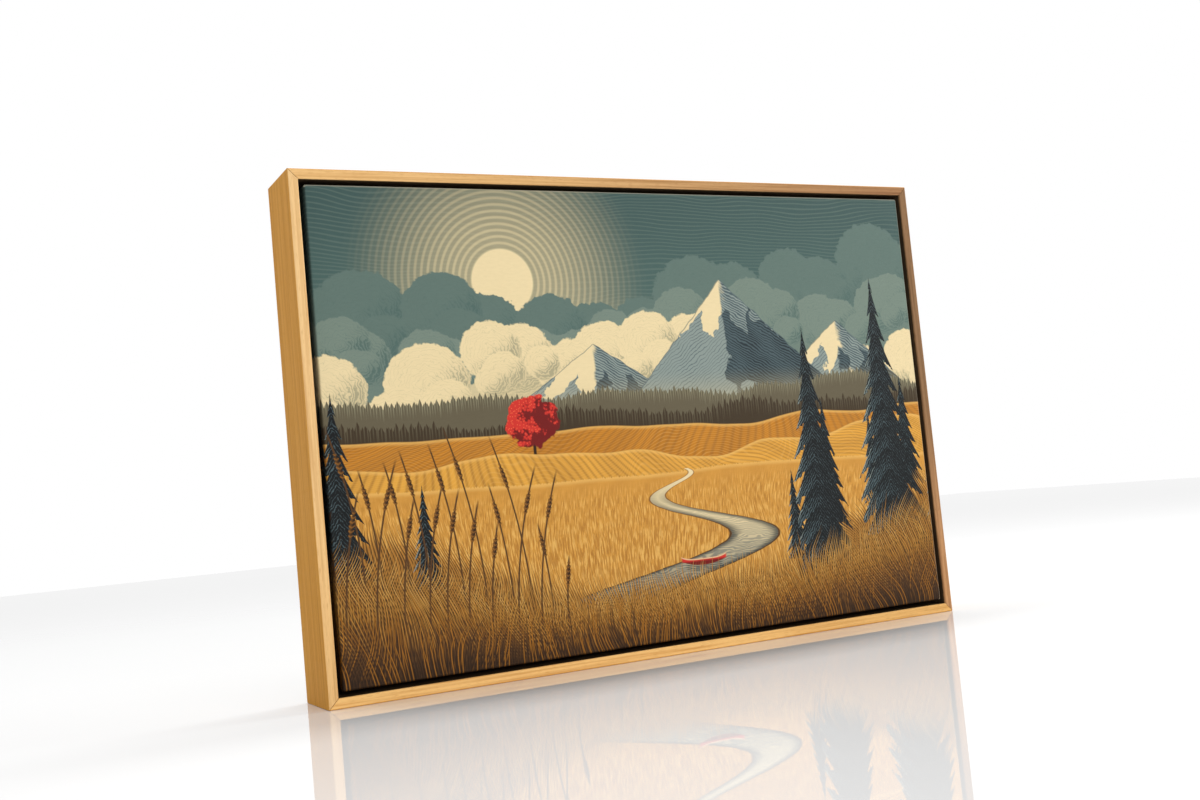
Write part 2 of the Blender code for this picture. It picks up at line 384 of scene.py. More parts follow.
# Tones of the same wood, (pale, deep). On the front faces they paint light and shade: lightest
# along the left and bottom, painted shade towards the upper right. The outer sides take a deeper
# tone, painted shade.
PALE_OAK = (ink(240, 192, 122), ink(206, 148, 80))
GOLDEN_OAK = (ink(228, 180, 112), ink(194, 140, 74))
HONEY_OAK = (ink(228, 185, 125), ink(194, 145, 86))
CREAMY_OAK = (ink(232, 195, 139), ink(202, 155, 98))
PAINTED_SHADE_OAK = (ink(158, 117, 82), ink(126, 89, 60))
DEEP_PAINTED_SHADE_OAK = (ink(138, 106, 76), ink(104, 76, 52))
HALF_PAINTED_SHADE_OAK = (ink(192, 144, 100), ink(150, 106, 70))
SIDE_PAINTED_SHADE_OAK = (ink(217, 155, 60), ink(195, 133, 48))

BLACK_PAINT = ink(70, 56, 42)
WORN_PAINT = ink(92, 75, 55)


def moulding_wood(side, seed, near, far, turn):
    """Straight-grained hardwood under a thin satin finish, its inner wall painted black.

    On the front face its tones go from near at the moulding's start to far at its end, and change
    over the part of its length that turn gives. These tones paint light and shade: lightest along
    the frame's left and bottom, painted shade towards its upper right. The outer side takes a
    deeper tone, painted shade.
    """
    finish = Finish(f"moulding_wood_{side}")
    along, across = wood_places(finish, side)
    if across is finish.x:
        inward = OUTER_HIGH.x - abs(finish.x)
    else:
        inward = OUTER_HIGH.z - MIDDLE_Z - abs(finish.z - MIDDLE_Z)
    streaks, rings, pores = grain(finish, along, across, finish.y, seed)
    # Painted light and shade along the front face.
    along_face = finish.smooth(along + (rings - 0.5) * 0.06, *turn)
    behind_face = finish.linear(finish.y, FRONT + 0.0008, FRONT + 0.0014)
    # Painted shade: the outer sides take a deeper, more golden tone than the front.
    outer_side = finish.linear(inward, 0.0004, 0.0001) * 0.92
    tones = near
    for over, share in ((far, along_face), (GOLDEN_OAK, behind_face), (SIDE_PAINTED_SHADE_OAK, outer_side)):
        tones = [finish.mix(tone, other, share) for tone, other in zip(tones, over)]
    pale, deep = tones
    colour = finish.mix(deep, pale, finish.smooth(streaks, 0.22, 0.60))
    colour = finish.mix(colour, deep, finish.smooth(rings, 0.50, 0.76) * 0.65)
    colour = finish.mix(colour, deep, pores * 0.5)
    paint = paint_mask(finish, inward)
    brushed = finish.noise(along * 40.0, across * 900.0, finish.y * 900.0, detail=1.0)
    black = finish.mix(BLACK_PAINT, WORN_PAINT, finish.smooth(brushed, 0.45, 0.8))
    height = streaks * 0.5 - pores * 0.6
    return finish.finished(
        Base_Color=finish.mix(colour, black, paint),
        Roughness=finish.linear(streaks, 0.3, 0.7, 0.50, 0.40) + pores * 0.12 + paint * 0.2,
        Normal=finish.relief(height, 0.18, 0.0002),
        Specular_IOR_Level=0.02,
    )


def pine(side, seed):
    finish = Finish(f"pine_{side}")
    along, across = wood_places(finish, side)
    sway = finish.noise(along * 4.0 + seed, across * 12.0, finish.y * 12.0) - 0.5
    knots = finish.cells(along + seed, across * 1.6 + finish.y, 5.0)
    near_knot = finish.smooth(knots, 0.12, 0.02)
    rings = finish.wave((across * 0.7 + finish.y * 0.7 + sway * 0.02 + near_knot * 0.006) * 260.0)
    fine = finish.noise(along * 14.0, across * 700.0, finish.y * 700.0)
    colour = finish.mix(ink(226, 192, 142), ink(196, 148, 92), finish.smooth(rings, 0.5, 1.0) * 0.8)
    colour = finish.mix(colour, ink(236, 208, 164), finish.smooth(fine, 0.45, 0.75) * 0.5)
    colour = finish.mix(colour, ink(146, 94, 52), finish.smooth(knots, 0.045, 0.020) * 0.8)
    return finish.finished(
        Base_Color=colour,
        Roughness=finish.linear(fine, 0.3, 0.7, 0.78, 0.66),
        Normal=finish.relief(fine + rings * 0.3, 0.25, 0.0002),
    )


def plated_steel(name, light, shade, roughness):
    """Pressed and plated steel, with fine scratches and a few dull spots."""
    finish = Finish(name)
    spots = finish.speckle(260.0)
    scratches = finish.noise(finish.x * 500.0, finish.y * 500.0, finish.z * 4000.0, detail=1.0)
    return finish.finished(
        Base_Color=finish.mix(light, shade, finish.smooth(spots, 0.35, 0.75)),
        Metallic=1.0,
        Roughness=roughness + spots * 0.16 + scratches * 0.08,
        Normal=finish.relief(scratches + spots * 0.5, 0.12, 0.0001),
    )


def soft_rubber():
    finish = Finish("soft_rubber")
    grime = finish.speckle(900.0, 3.0)
    return finish.finished(
        Base_Color=finish.mix(ink(34, 34, 35), ink(62, 61, 60), finish.smooth(grime, 0.4, 0.75)),
        Roughness=finish.linear(grime, 0.3, 0.7, 0.62, 0.8),
        Normal=finish.relief(grime, 0.2, 0.0002),
    )


def dried_glue():
    finish = Finish("dried_glue")
    patches = finish.speckle(300.0)
    tone = finish.smooth(patches, 0.35, 0.7)
    return finish.finished(
        Base_Color=finish.mix(ink(176, 126, 72), ink(142, 98, 54), tone),
        Roughness=finish.linear(patches, 0.3, 0.7, 0.35, 0.5),
    )


def cotton_thread():
    finish = Finish("cotton_thread")
    twist = finish.speckle(2500.0, 1.0)
    return finish.finished(
        Base_Color=finish.mix(COTTON_SHADE, COTTON, finish.smooth(twist, 0.35, 0.65)),
        Roughness=0.9,
        Normal=finish.relief(twist, 0.4, 0.0001),
    )


def pale_floor():
    finish = Finish("pale_floor")
    cloudy = finish.noise(finish.x, finish.y, scale=1.5)
    return finish.finished(
        Base_Color=finish.mix((0.86, 0.86, 0.86), (0.88, 0.88, 0.88), cloudy),
        Roughness=0.0,
    )


# The printed landscape

DEEP_TEAL = ink(62, 85, 82)
TEAL = ink(74, 99, 94)
PALE_TEAL = ink(116, 132, 120)
GREY_TEAL = ink(94, 114, 106)
HAZE = ink(200, 184, 142)
CREAM = ink(230, 210, 164)
CLOUD_SHADE = ink(150, 146, 118)
SLATE = ink(74, 90, 94)
SLATE_DARK = ink(38, 48, 52)
SLATE_LIGHT = ink(136, 148, 142)
TAUPE = ink(98, 90, 70)
BARK = ink(62, 50, 34)
NIGHT = ink(18, 21, 22)
GOLD = ink(224, 164, 66)
ORANGE = ink(192, 124, 34)
WHEAT = ink(206, 148, 64)
PALE_WHEAT = ink(230, 182, 100)
STRAW_SHADE = ink(168, 114, 46)
BROWN = ink(140, 92, 38)
UMBER = ink(84, 56, 30)
DARK_UMBER = ink(42, 28, 17)
CRIMSON = ink(204, 52, 42)
SCARLET = ink(238, 112, 74)
DARK_RED = ink(112, 24, 22)

# (shift, size) of each row of puffs in a bank of clouds, in shares of its widest puff
PUFF_ROWS = ((0.0, 1.0), (0.5, 0.92), (0.25, 0.62), (0.8, 0.55))

# The part of the print over which something comes up, from none to all.
RIGHT_STAND = (0.16, 0.46)
LEFT_STAND = (-0.42, -0.66)
REED_BED = (-0.14, -0.34)

TREE_SLOPE = 0.17  # half a conifer's width for its height


class Layer(Group):
    """One layer of the print. x and y are in canvas heights, y from 0 to 1."""

    def __init__(self, name):
        places = (("X", "Float"), ("Y", "Float"))
        super().__init__(name, "ShaderNodeTree", "Color", (("Under", "Color"), *places))
        self.under = self.given["Under"]
        # Nothing is added to a place, but it now waits for the layer under this one, so that
        # the renderer never holds the values of many layers at a time.
        nothing = self.math("SUBTRACT", self.under, self.under)
        self.x = self.given["X"] + nothing
        self.y = self.given["Y"] + nothing

    def over(self, under, colour, depth, edge=0.0012):
        """One colour laid over another where depth is over 0."""
        return self.mix(under, colour, self.inside(depth, edge))

    def speckle(self, scale, detail=2.0):
        """Noise over the whole print."""
        return self.noise(self.x, self.y, scale=scale, detail=detail)

    def ridge(self, level, swell, scale, seed):
        return level + swell * (self.noise(self.x + seed, scale=scale) - 0.5)

    def bank(self, x, level, rise):
        """The height of the ground at x, which rises towards both edges of the print."""
        return level + rise * self.smooth(abs(x - 0.02), 0.18, 0.75)

    # The sky

    def sky(self):
        colour = self.mix(HAZE, TEAL, self.smooth(self.y, 0.56, 0.78))
        colour = self.mix(colour, DEEP_TEAL, self.smooth(self.y, 0.70, 1.0))
        drift = self.noise(self.x * 0.5, self.y, scale=4.0)
        strokes = self.lines(self.y * 110.0 + drift * 10.0, 0.10 + 0.35 * drift)
        return self.mix(colour, PALE_TEAL, strokes * 0.28)

    def sun(self, under, x, y, radius):
        distance = self.distance(self.x - x, self.y - y)
        rings = self.lines(distance * 72.0, 0.40)
        fade = self.smooth(distance, 0.36, radius)
        under = self.mix(under, HAZE, fade * 0.55)
        under = self.mix(under, CREAM, rings * fade * 0.42)
        return self.over(under, CREAM, radius - distance)

    def puff(self, crest, drop, cell, seed, shift):
        """(depth inside, distance from its middle, shade side) of the puff in this cell."""
        number = self.whole(self.x * (1.0 / cell) + shift)
        wide, aside, high = self.random(number + seed)
        middle = (number + 0.5 - shift + (aside - 0.5) * 0.08) * cell
        radius = cell * (0.33 + 0.13 * wide)
        x = self.x - middle
        y = self.y - (crest(middle) - drop) + cell * (0.20 + high * 0.25)
        distance = self.distance(x, y * 1.1)
        return radius - distance, distance, (x - y * 1.3) / radius

    def puffs(self, under, puff, body, cell, light, shade, cloud):
        """One row of puffs over what lies behind, shaded with curved strokes."""
        depth, ring, side = puff
        edge, sink, dots = cloud
        inner = self.smooth(depth, -cell * 0.05, 0.0)
        dark = self.smooth(side + edge * 0.7, -0.30, 0.95) * inner
        strokes = self.lines(ring * 130.0 + edge * 3.0, dark * 0.62 - (1.0 - inner) * 0.3)
        colour = self.mix(light, shade, dark * 0.34 + strokes * 0.50)
        rim = self.smooth(depth, cell * 0.06, 0.0) * inner
        colour = self.mix(colour, light, rim * 0.5)
        colour = self.mix(colour, body, sink)
        colour = self.mix(colour, shade, dots * sink * 0.45)
        return self.over(under, colour, depth + edge * cell * 0.08, 0.0016)

    def clouds(self, under, crest, cell, seed, light, shade, body):
        """A bank of round puffs in front of one another, lit from the upper left."""
        edge = self.speckle(60.0) - 0.5
        below_crest = crest(self.x) - self.y
        sink = self.smooth(below_crest, cell * 0.35, cell * 1.3)
        grains = self.speckle(300.0, 1.0)
        cloud = (edge, sink, self.smooth(grains, 0.60, 0.68))
        bank = self.inside(below_crest - cell * 0.50 + edge * cell * 0.08, 0.0016)
        base = self.mix(self.mix(light, shade, 0.35), body, sink)
        under = self.mix(under, self.mix(base, shade, cloud[2] * sink * 0.45), bank)
        for shift, size in PUFF_ROWS:
            drop = cell * (1.0 - size) * 0.75
            puff = self.puff(crest, drop, cell * size, seed + 40.0 * shift, shift)
            under = self.puffs(under, puff, body, cell * size, light, shade, cloud)
        return under

    # The mountains

    def peak(self, under, x, top, left, right, seed):
        """A mountain: a jagged spine comes down from its top, the light falls from the left."""
        drop = top - self.y
        jag = self.noise(self.y + seed, scale=16.0, detail=3.0) - 0.5
        rough = self.noise(self.x + seed, self.y, scale=22.0, detail=3.0) - 0.5
        spine = self.x - x - (jag * 0.55 + 0.10) * drop
        wall = self.smallest(self.x - x + drop * left, drop * right - self.x + x)
        mask = self.inside(wall + rough * 0.016, 0.0016) * (drop > 0.0)
        spur = self.wave(spine / (drop + 0.06) * 2.1 + jag * 1.2 + rough * 0.9)
        lit = self.smooth(-spine + (spur - 0.5) * drop * 0.34 + rough * 0.012, -0.005, 0.005)
        strokes = self.lines((self.y + self.x * 0.55) * 150.0 + rough * 3.0, 0.30 + spur * 0.3)
        fine = self.lines((self.y - self.x * 0.7) * 120.0 + rough * 3.0, 0.20 - spur * 0.1)
        shade = self.mix(SLATE, SLATE_DARK, strokes)
        bright = self.mix(SLATE_LIGHT, SLATE, fine)
        rock = self.mix(shade, bright, lit)
        snow = self.mix(self.mix(SLATE_LIGHT, SLATE, strokes), CREAM, lit)
        line = drop - 0.065 - rough * 0.05 - spur * 0.07
        rock = self.over(rock, snow, -line, 0.002)
        rock = self.mix(rock, HAZE, self.smooth(self.y, 0.60, 0.50) * 0.45)
        rock = self.mix(rock, SLATE, self.smooth(wall + rough * 0.016, 0.0042, 0.0016) * 0.7)
        return self.mix(under, rock, mask)

    # Trees

    def forest(self, under, crest, cell, height, colour, light, seed):
        """A far wood: a ridge edged with small tree tops."""
        steps_along = self.x * (1.0 / cell) + seed
        tall, thick = self.random(self.whole(steps_along), 2)
        top = self.wave(steps_along) ** 0.8 * height * (0.45 + 0.55 * tall)
        second = self.wave(self.x * (1.6 / cell) + seed * 3.1) * height * 0.5
        depth = crest + self.largest(top, second) - self.y
        strokes = self.lines(self.x * (2.2 / cell) + thick, 0.3)
        tone = self.smooth(depth, height * 1.6, 0.0)
        body = self.mix(colour, light, strokes * tone * 0.8)
        return self.over(under, body, depth)

    def conifers(self, under, ground, stand, cell, height, seed, tiers):
        """A row of conifers, one in each cell, with drooping tiers lit from the left."""
        number = self.whole(self.x * (1.0 / cell) + seed)
        tall, aside = self.random(number + seed * 7.0, 2)
        centre = (number + 0.5 - seed + (aside - 0.5) * 0.35) * cell
        grown = self.smooth(centre, *stand)
        reach = self.largest(height * (0.55 + 0.45 * tall) * grown, 0.001)
        across = self.x - centre
        up = (self.y - self.bank(centre, *ground)) / reach
        wide = abs(across) / reach
        droop = up + wide * 0.75
        ragged = self.speckle(90.0, 3.0) - 0.5
        tier = self.fraction(droop * tiers + aside + ragged * 0.45)
        spread = (1.0 - up) * TREE_SLOPE * (1.12 - 0.58 * tier)
        body = spread - wide + ragged * 0.040 * (1.0 - up)
        trunk = self.smallest(0.012 - wide, 0.5 - up)
        mask = self.inside(self.smallest(self.largest(body, trunk), up + 0.02) * height)
        side = self.smooth(across / reach / TREE_SLOPE, 0.55, -0.75)
        breaks = self.noise(across * 3.0, self.y, scale=110.0, detail=1.0)
        width = side * self.smooth(tier, 1.0, 0.15) * 0.55 + (breaks - 0.5) * 0.7
        needles = self.lines((self.y + abs(across) * 1.4) * 105.0 + ragged * 1.6, width)
        tips = self.smooth(body, 0.026, 0.004) * self.smooth(side, 0.5, 0.8)
        colour = self.mix(NIGHT, SLATE, needles)
        colour = self.mix(colour, SLATE_LIGHT, needles * tips)
        return self.mix(under, colour, mask * (reach > height * 0.24))

    def maple(self, under, x, y, radius):
        x = self.x - x
        y = self.y - y
        leaves = self.cells(self.x, self.y, 150.0)
        clumps = self.speckle(34.0, 3.0)
        crown = radius * (0.62 + 0.76 * clumps) - self.distance(x, y * 1.12)
        trunk = self.smallest(0.0035 - abs(x), self.smallest(-y, y + radius * 1.75))
        under = self.over(under, DARK_UMBER, trunk)
        light = self.smooth((y - x) * (1.0 / radius) + (clumps - 0.5) * 5.0, -1.1, 1.2)
        dots = self.smooth(leaves, 0.30, 0.55)
        colour = self.mix(DARK_RED, CRIMSON, self.smooth(light - dots * 0.35, 0.15, 0.55))
        sparks = self.smooth(leaves, 0.22, 0.10) * self.smooth(light, 0.55, 0.8)
        colour = self.mix(colour, SCARLET, sparks * 0.8)
        return self.over(under, colour, crown, 0.002)

    # The fields

    def field(self, under, crest, colour, line, far_x, spacing):
        """A hill, whose furrows run away towards a point above its crest."""
        depth = crest - self.y
        sway = self.noise(self.x + far_x, self.y, scale=4.0) - 0.5
        along = (self.x - far_x) / (depth + 0.34)
        furrows = self.lines(along * spacing + sway * 1.2, 0.34, 0.26)
        broad = self.wave(along * spacing * 0.125 + sway)
        stubble = self.lines(depth * 150.0 + sway * 26.0 + along * 9.0, 0.20 + 0.3 * sway)
        body = self.mix(colour, line, broad * 0.25 + self.smooth(depth, 0.0, 0.12) * 0.12)
        body = self.mix(body, line, furrows * 0.50)
        body = self.mix(body, PALE_WHEAT, stubble * 0.28)
        rim = self.smooth(depth, 0.010, 0.0)
        body = self.mix(body, PALE_WHEAT, rim * 0.7)
        return self.over(under, body, depth)

    def standing_wheat(self, under, crest, colour, shade, tip):
        """Ripe wheat, drawn with short upright strokes that grow towards the front."""
        depth = self.largest(crest - self.y, 0.0)
        sway = self.speckle(3.0, 1.0) - 0.5
        lean = self.x + sway * self.y * 0.30
        rows = self.wave((self.x - 0.3) / (depth + 0.30) * 3.5 + sway * 0.8)
        colour = self.mix(colour, shade, rows * 0.22)
        for fine, low, high in ((360.0, 0.00, 0.06), (250.0, 0.04, 0.16), (170.0, 0.14, 0.30)):
            near = self.smooth(depth, low, high)
            strokes = self.noise(lean * fine, self.y * fine * 0.11, fine, detail=1.0)
            colour = self.mix(colour, shade, self.smooth(strokes, 0.54, 0.59) * near * 0.62)
            colour = self.mix(colour, tip, self.smooth(strokes, 0.44, 0.39) * near * 0.62)
        colour = self.mix(colour, tip, self.smooth(depth, 0.012, 0.0) * 0.7)
        ragged = (self.noise(self.x * 260.0, detail=1.0) - 0.5) * 0.008
        return self.over(under, colour, crest + ragged - self.y)

    def river(self, under, horizon):
        fall = self.largest((horizon - self.y) * (1.0 / horizon), 0.0)
        bend = self.sine(12.0 * fall**0.5 + 0.2)
        centre = 0.06 + 0.34 * bend * fall**0.8
        width = 0.005 + 0.21 * fall**1.5
        wobble = (self.speckle(26.0, 3.0) - 0.5) * fall * 0.03
        inside = width - abs(self.x - centre + wobble)
        ripple = self.noise(self.x * 0.35, self.y, scale=40.0)
        lines = self.lines(110.0 * fall**0.6 + ripple * 6.0, 0.16 + 0.5 * ripple)
        water = self.mix(CREAM, SLATE, self.smooth(fall, 0.05, 0.75))
        water = self.mix(water, CREAM, lines * self.smooth(fall, 1.0, 0.1) * 0.85)
        shade = self.smooth(inside, 0.035, 0.0) * self.smooth(fall, 0.05, 0.3)
        water = self.mix(water, SLATE_DARK, shade * 0.8)
        bank = self.mix(UMBER, BROWN, self.smooth(fall, 0.5, 0.0))
        below = fall > 0.004
        under = self.mix(under, bank, self.inside(inside + 0.002 + fall * 0.010) * below)
        return self.mix(under, water, self.inside(inside) * below)

    def canoe(self, under, x, y, length):
        x = (self.x - x) * (1.0 / length)
        keel = y - 0.012 + 0.011 * x * x
        gunwale = y + 0.003 + 0.007 * x * x * x * x
        hull = self.smallest(gunwale - self.y, self.y - keel)
        hull = self.smallest(hull, (1.0 - abs(x)) * 0.02)
        mirror = self.smallest(keel - self.y, self.y - keel + 0.014)
        mirror = self.smallest(mirror, (0.80 - abs(x)) * 0.02)
        stripes = self.lines(self.y * 240.0, 0.5)
        under = self.mix(under, SLATE_DARK, self.inside(mirror) * stripes * 0.7)
        colour = self.mix(CRIMSON, DARK_RED, self.smooth(self.y, y + 0.001, y - 0.005))
        colour = self.over(colour, CREAM, 0.0011 - abs(self.y - gunwale + 0.0012))
        return self.over(under, colour, hull, 0.0008)

    # The near grass

    def blades(self, under, base, height, cell, lean, seed, tip, root, glint):
        """A bank of grass down to its roots, one blade in each leaning cell."""
        rise = self.y - base
        sway = self.noise(self.x * 1.3 + seed, self.y, scale=3.2, detail=1.0) - 0.5
        leaning = self.x + rise * (lean + sway * 2.2) + rise * rise * lean * 2.0
        steps_along = leaning * (1.0 / cell) + seed * 13.7
        tall, aside, tone = self.random(self.whole(steps_along) + seed * 31.0)
        up = rise / (height * (0.40 + 0.60 * tall))
        across = self.fraction(steps_along) - 0.5 - (aside - 0.5) * 0.4
        half = (1.0 - up) * 0.34
        mask = self.linear(half - abs(across), -0.10, 0.10)
        light = self.smooth(across, 0.12, -0.12)
        body = self.mix(root, tip, self.smooth(up, -0.5, 0.95))
        body = self.mix(body, DARK_UMBER, (1.0 - light) * 0.70 + tone * 0.12)
        chosen = light * self.smooth(tone, 0.40, 0.70)
        body = self.mix(body, glint, chosen * self.smooth(up, -0.7, 0.7) * 0.85)
        return self.mix(under, body, mask)

    def reeds(self, under, base, height, cell, lean, seed):
        rise = self.y - base
        leaning = self.x + rise * rise * lean
        steps_along = leaning * (1.0 / cell) + seed
        number = self.whole(steps_along)
        tall, aside = self.random(number + seed * 5.0, 2)
        bed = self.smooth((number + 0.5 - seed) * cell, *REED_BED)
        reach = height * (0.6 + 0.4 * tall) * bed
        grown = reach > 0.16
        reach = self.largest(reach, 0.001)
        across = (self.fraction(steps_along) - 0.5 - (aside - 0.5) * 0.6) * cell
        up = rise / reach
        stem = self.smallest(0.0019 - abs(across), (1.0 - up) * 0.02)
        middle = (up - 0.80) * reach
        grains = self.wave(middle * 110.0 - abs(across) * 60.0)
        head = 0.0056 - self.math("SQRT", across * across + middle * middle * 0.045)
        head = head + (grains - 0.6) * 0.0022
        under = self.mix(under, UMBER, self.inside(stem, 0.0007) * grown)
        light = self.smooth(across, 0.003, -0.004) * 0.4 + self.smooth(grains, 0.35, 0.9) * 0.6
        colour = self.mix(DARK_UMBER, BROWN, light)
        return self.mix(under, colour, self.inside(head, 0.0007) * grown)


# The layers of the print, from the back to the front


def sky_and_sun(layer):
    return layer.sun(layer.sky(), -0.34, 0.80, 0.070)


def far_clouds(layer):
    def crest(x):
        return 0.78 + 0.14 * layer.smooth(x, -0.20, 0.70) + 0.03 * layer.sine(x * 9.0)

    return layer.clouds(layer.under, crest, 0.26, 3.0, GREY_TEAL, TEAL, GREY_TEAL)


def grey_clouds(layer):
    def crest(x):
        return 0.72 + 0.11 * layer.smooth(x, 0.0, 0.75) + 0.035 * layer.sine(x * 6.0 + 1.0)

    return layer.clouds(layer.under, crest, 0.19, 5.0, PALE_TEAL, TEAL, PALE_TEAL)


def bright_clouds(layer):
    def crest(x):
        return 0.675 + 0.05 * layer.sine(x * 5.2 + 2.2) + 0.025 * layer.sine(x * 13.0)

    return layer.clouds(layer.under, crest, 0.21, 9.0, CREAM, CLOUD_SHADE, HAZE)


# (x, top, slope of its left side, of its right side, seed) of each mountain, the nearest last
PEAKS = (
    (-0.14, 0.660, 1.5, 1.6, 7.0),
    (0.52, 0.700, 1.3, 1.2, 2.0),
    (0.20, 0.800, 0.95, 1.15, 4.0),
)


def mountains(layer):
    colour = layer.under
    for peak in PEAKS:
        colour = layer.peak(colour, *peak)
    return colour


def woods(layer):
    far = layer.ridge(0.545, 0.07, 3.0, 4.0)
    colour = layer.forest(layer.under, far, 0.012, 0.020, TAUPE, CLOUD_SHADE, 2.0)
    near = layer.ridge(0.50, 0.09, 2.2, 8.0)
    return layer.forest(colour, near, 0.016, 0.026, BARK, TAUPE, 5.0)


def ploughed_hills(layer):
    far = layer.ridge(0.480, 0.10, 1.6, 2.0)
    colour = layer.field(layer.under, far, ORANGE, BROWN, 0.3, 18.0)
    colour = layer.maple(colour, -0.30, 0.50, 0.062)
    near = layer.ridge(0.425, 0.12, 1.9, 6.5)
    return layer.field(colour, near, GOLD, BROWN, -0.5, 20.0)


def ripe_field(layer):
    crest = layer.ridge(0.370, 0.06, 1.1, 9.5)
    return layer.standing_wheat(layer.under, crest, WHEAT, STRAW_SHADE, PALE_WHEAT)


def river_and_canoe(layer):
    return layer.canoe(layer.river(layer.under, 0.375), 0.088, 0.168, 0.058)


def far_bank(layer):
    ground = (0.12, 0.17)
    colour = layer.conifers(layer.under, ground, RIGHT_STAND, 0.110, 0.40, seed=0.3, tiers=9.0)
    grass = (WHEAT, STRAW_SHADE, PALE_WHEAT)
    return layer.blades(colour, layer.bank(layer.x, *ground), 0.06, 0.0062, 0.3, 1.0, *grass)


def near_trees(layer):
    ground = (0.06, 0.15)
    colour = layer.conifers(layer.under, ground, RIGHT_STAND, 0.19, 0.70, seed=0.15, tiers=11.0)
    return layer.conifers(colour, ground, LEFT_STAND, 0.17, 0.52, seed=0.65, tiers=10.0)


# (lean, tip, root, glint) of each row of grass, from the back to the front
GRASS = (
    (-0.16, WHEAT, BROWN, PALE_WHEAT),
    (0.24, WHEAT, BROWN, PALE_WHEAT),
    (0.06, GOLD, UMBER, WHEAT),
    (0.34, ORANGE, UMBER, WHEAT),
    (-0.08, BROWN, DARK_UMBER, ORANGE),
    (0.18, UMBER, DARK_UMBER, ORANGE),
)
REEDY_ROWS = (1, 3)


def grass_row(layer, n):
    colour = layer.under
    base = layer.bank(layer.x, 0.085 - 0.018 * n, 0.13 - 0.024 * n)
    if n in REEDY_ROWS:
        colour = layer.reeds(colour, base, 0.36, 0.050, 0.5 * (2 - n), 4.3 * n)
    lean, *colours = GRASS[n]
    cell = 0.0056 + 0.0003 * n
    height = 0.075 + 0.010 * n
    return layer.blades(colour, base, height, cell, lean, 2.0 + n, *colours)


LAYERS = (sky_and_sun, far_clouds, grey_clouds, bright_clouds, mountains, woods)
LAYERS += (ploughed_hills, ripe_field, river_and_canoe, far_bank, near_trees)


def painted(finish, given, draw, *values):
    """The print's colour with one more layer over it. given is the colour under it, x and y."""
    layer = Layer(draw.__name__)
    layer.node("NodeGroupOutput", {}, {0: draw(layer, *values)})
    sockets = dict(enumerate(given))
    return finish.wire("ShaderNodeGroup", {"node_tree": layer.tree}, sockets)


def printed_canvas():
    finish = Finish("printed_canvas")
    u, v = cloth_places(finish)
    x = mirrored(finish, u, HALF_WIDTH) * (1.0 / CANVAS_HEIGHT)
    y = mirrored(finish, v, HALF_HEIGHT) * (1.0 / CANVAS_HEIGHT) + 0.5
    colour = HAZE
    for draw in LAYERS:
        colour = painted(finish, (colour, x, y), draw)
    for n in range(len(GRASS)):
        colour = painted(finish, (colour, x, y), grass_row, n)
    height, thread = weave(finish, u, v)
    past = finish.largest(abs(u) - HALF_WIDTH, abs(v) - HALF_HEIGHT)
    ragged = (finish.noise(u, v, scale=400.0, detail=3.0) - 0.5) * 0.0012
    bare = finish.linear(past + ragged, PRINTED_WRAP - 0.0003, PRINTED_WRAP + 0.0003)
    fold = (finish.noise(u, v, scale=70.0, detail=3.0) - 0.5) * 0.0006
    # At the bend of each edge: on the top and right a painted highlight with some wear of the
    # print, on the left and bottom painted shade.
    edge_bend = finish.smooth(abs(past + fold), 0.0014, 0.0003)
    lit = finish.largest(u - HALF_WIDTH, v - HALF_HEIGHT) > -0.0016
    edge_wear_and_painted_light_shade = finish.mix(finish.mix(colour, (0, 0, 0), 0.45), finish.mix(colour, COTTON, 0.34), lit)
    colour = finish.mix(colour, edge_wear_and_painted_light_shade, edge_bend)
    # The bare cloth and the print are both darker in the hollows between the threads: painted
    # shade.
    cloth = finish.mix(COTTON_SHADE, COTTON, finish.smooth(thread, 0.1, 0.8))
    colour = finish.mix(colour, finish.mix((0, 0, 0), colour, 0.82), (1.0 - thread) * 0.8)
    colour = finish.mix(colour, cloth, bare)
    return finish.finished(
        Base_Color=colour,
        Roughness=finish.linear(thread, 0.0, 1.0, 0.62, 0.48) + bare * 0.3,
        Normal=finish.relief(height, 0.45, 0.00022),
        Specular_IOR_Level=0.12,
    )


# Shapes


def linked(name, data):
    obj = bpy.data.objects.new(name, data)
    bpy.context.scene.collection.objects.link(obj)
    return obj


def object_from(bm, name, *materials):
    """An object of that mesh, with its faces turned outwards."""
    bmesh.ops.recalc_face_normals(bm, faces=bm.faces)
    mesh = bpy.data.meshes.new(name)
    bm.to_mesh(mesh)
    bm.free()
    for material in materials:
        mesh.materials.append(material)
    return linked(name, mesh)


def made_plain(obj):
    """Leaves the object with the mesh that its modifiers give, and no modifiers."""
    graph = bpy.context.evaluated_depsgraph_get()
    mesh = bpy.data.meshes.new_from_object(obj.evaluated_get(graph))
    obj.modifiers.clear()
    obj.data = mesh
    return obj


def smooth(obj, angle=40.0):
    obj.data.shade_smooth()
    obj.data.set_sharp_from_angle(angle=math.radians(angle))


def steps(low, high, count):
    return [low + (high - low) * n / count for n in range(count + 1)]


# The cloth's parts on its bake map, (left, low, wide, high) for the front's two faces and
# (left, low, wide, pitch) for the strips past its four edges.
BAKE_GAP = 0.005
FRONT_PATCH = (0.004, 0.336, 0.992, 0.660)
INSIDE_PATCH = (0.004, 0.010, 0.450, 0.316)
OUTSIDE_STRIPS = (0.462, 0.068, 0.534, 0.066)
INSIDE_STRIPS = (0.462, 0.004, 0.534, 0.015)
HEM_ON_MAP = 0.003
STRIP_WIDTH = CANVAS_HIGH.y - CANVAS_LOW.y + RETURN_WIDTH + HEM_ON_MAP

# The front's part of the flat cloth goes on round the bend at each edge, and a hair further.
BEND = WRAP_RADIUS * (math.pi / 2 - 1) + 0.00001
EDGE_X, EDGE_Z = HALF_WIDTH + BEND, HALF_HEIGHT + BEND


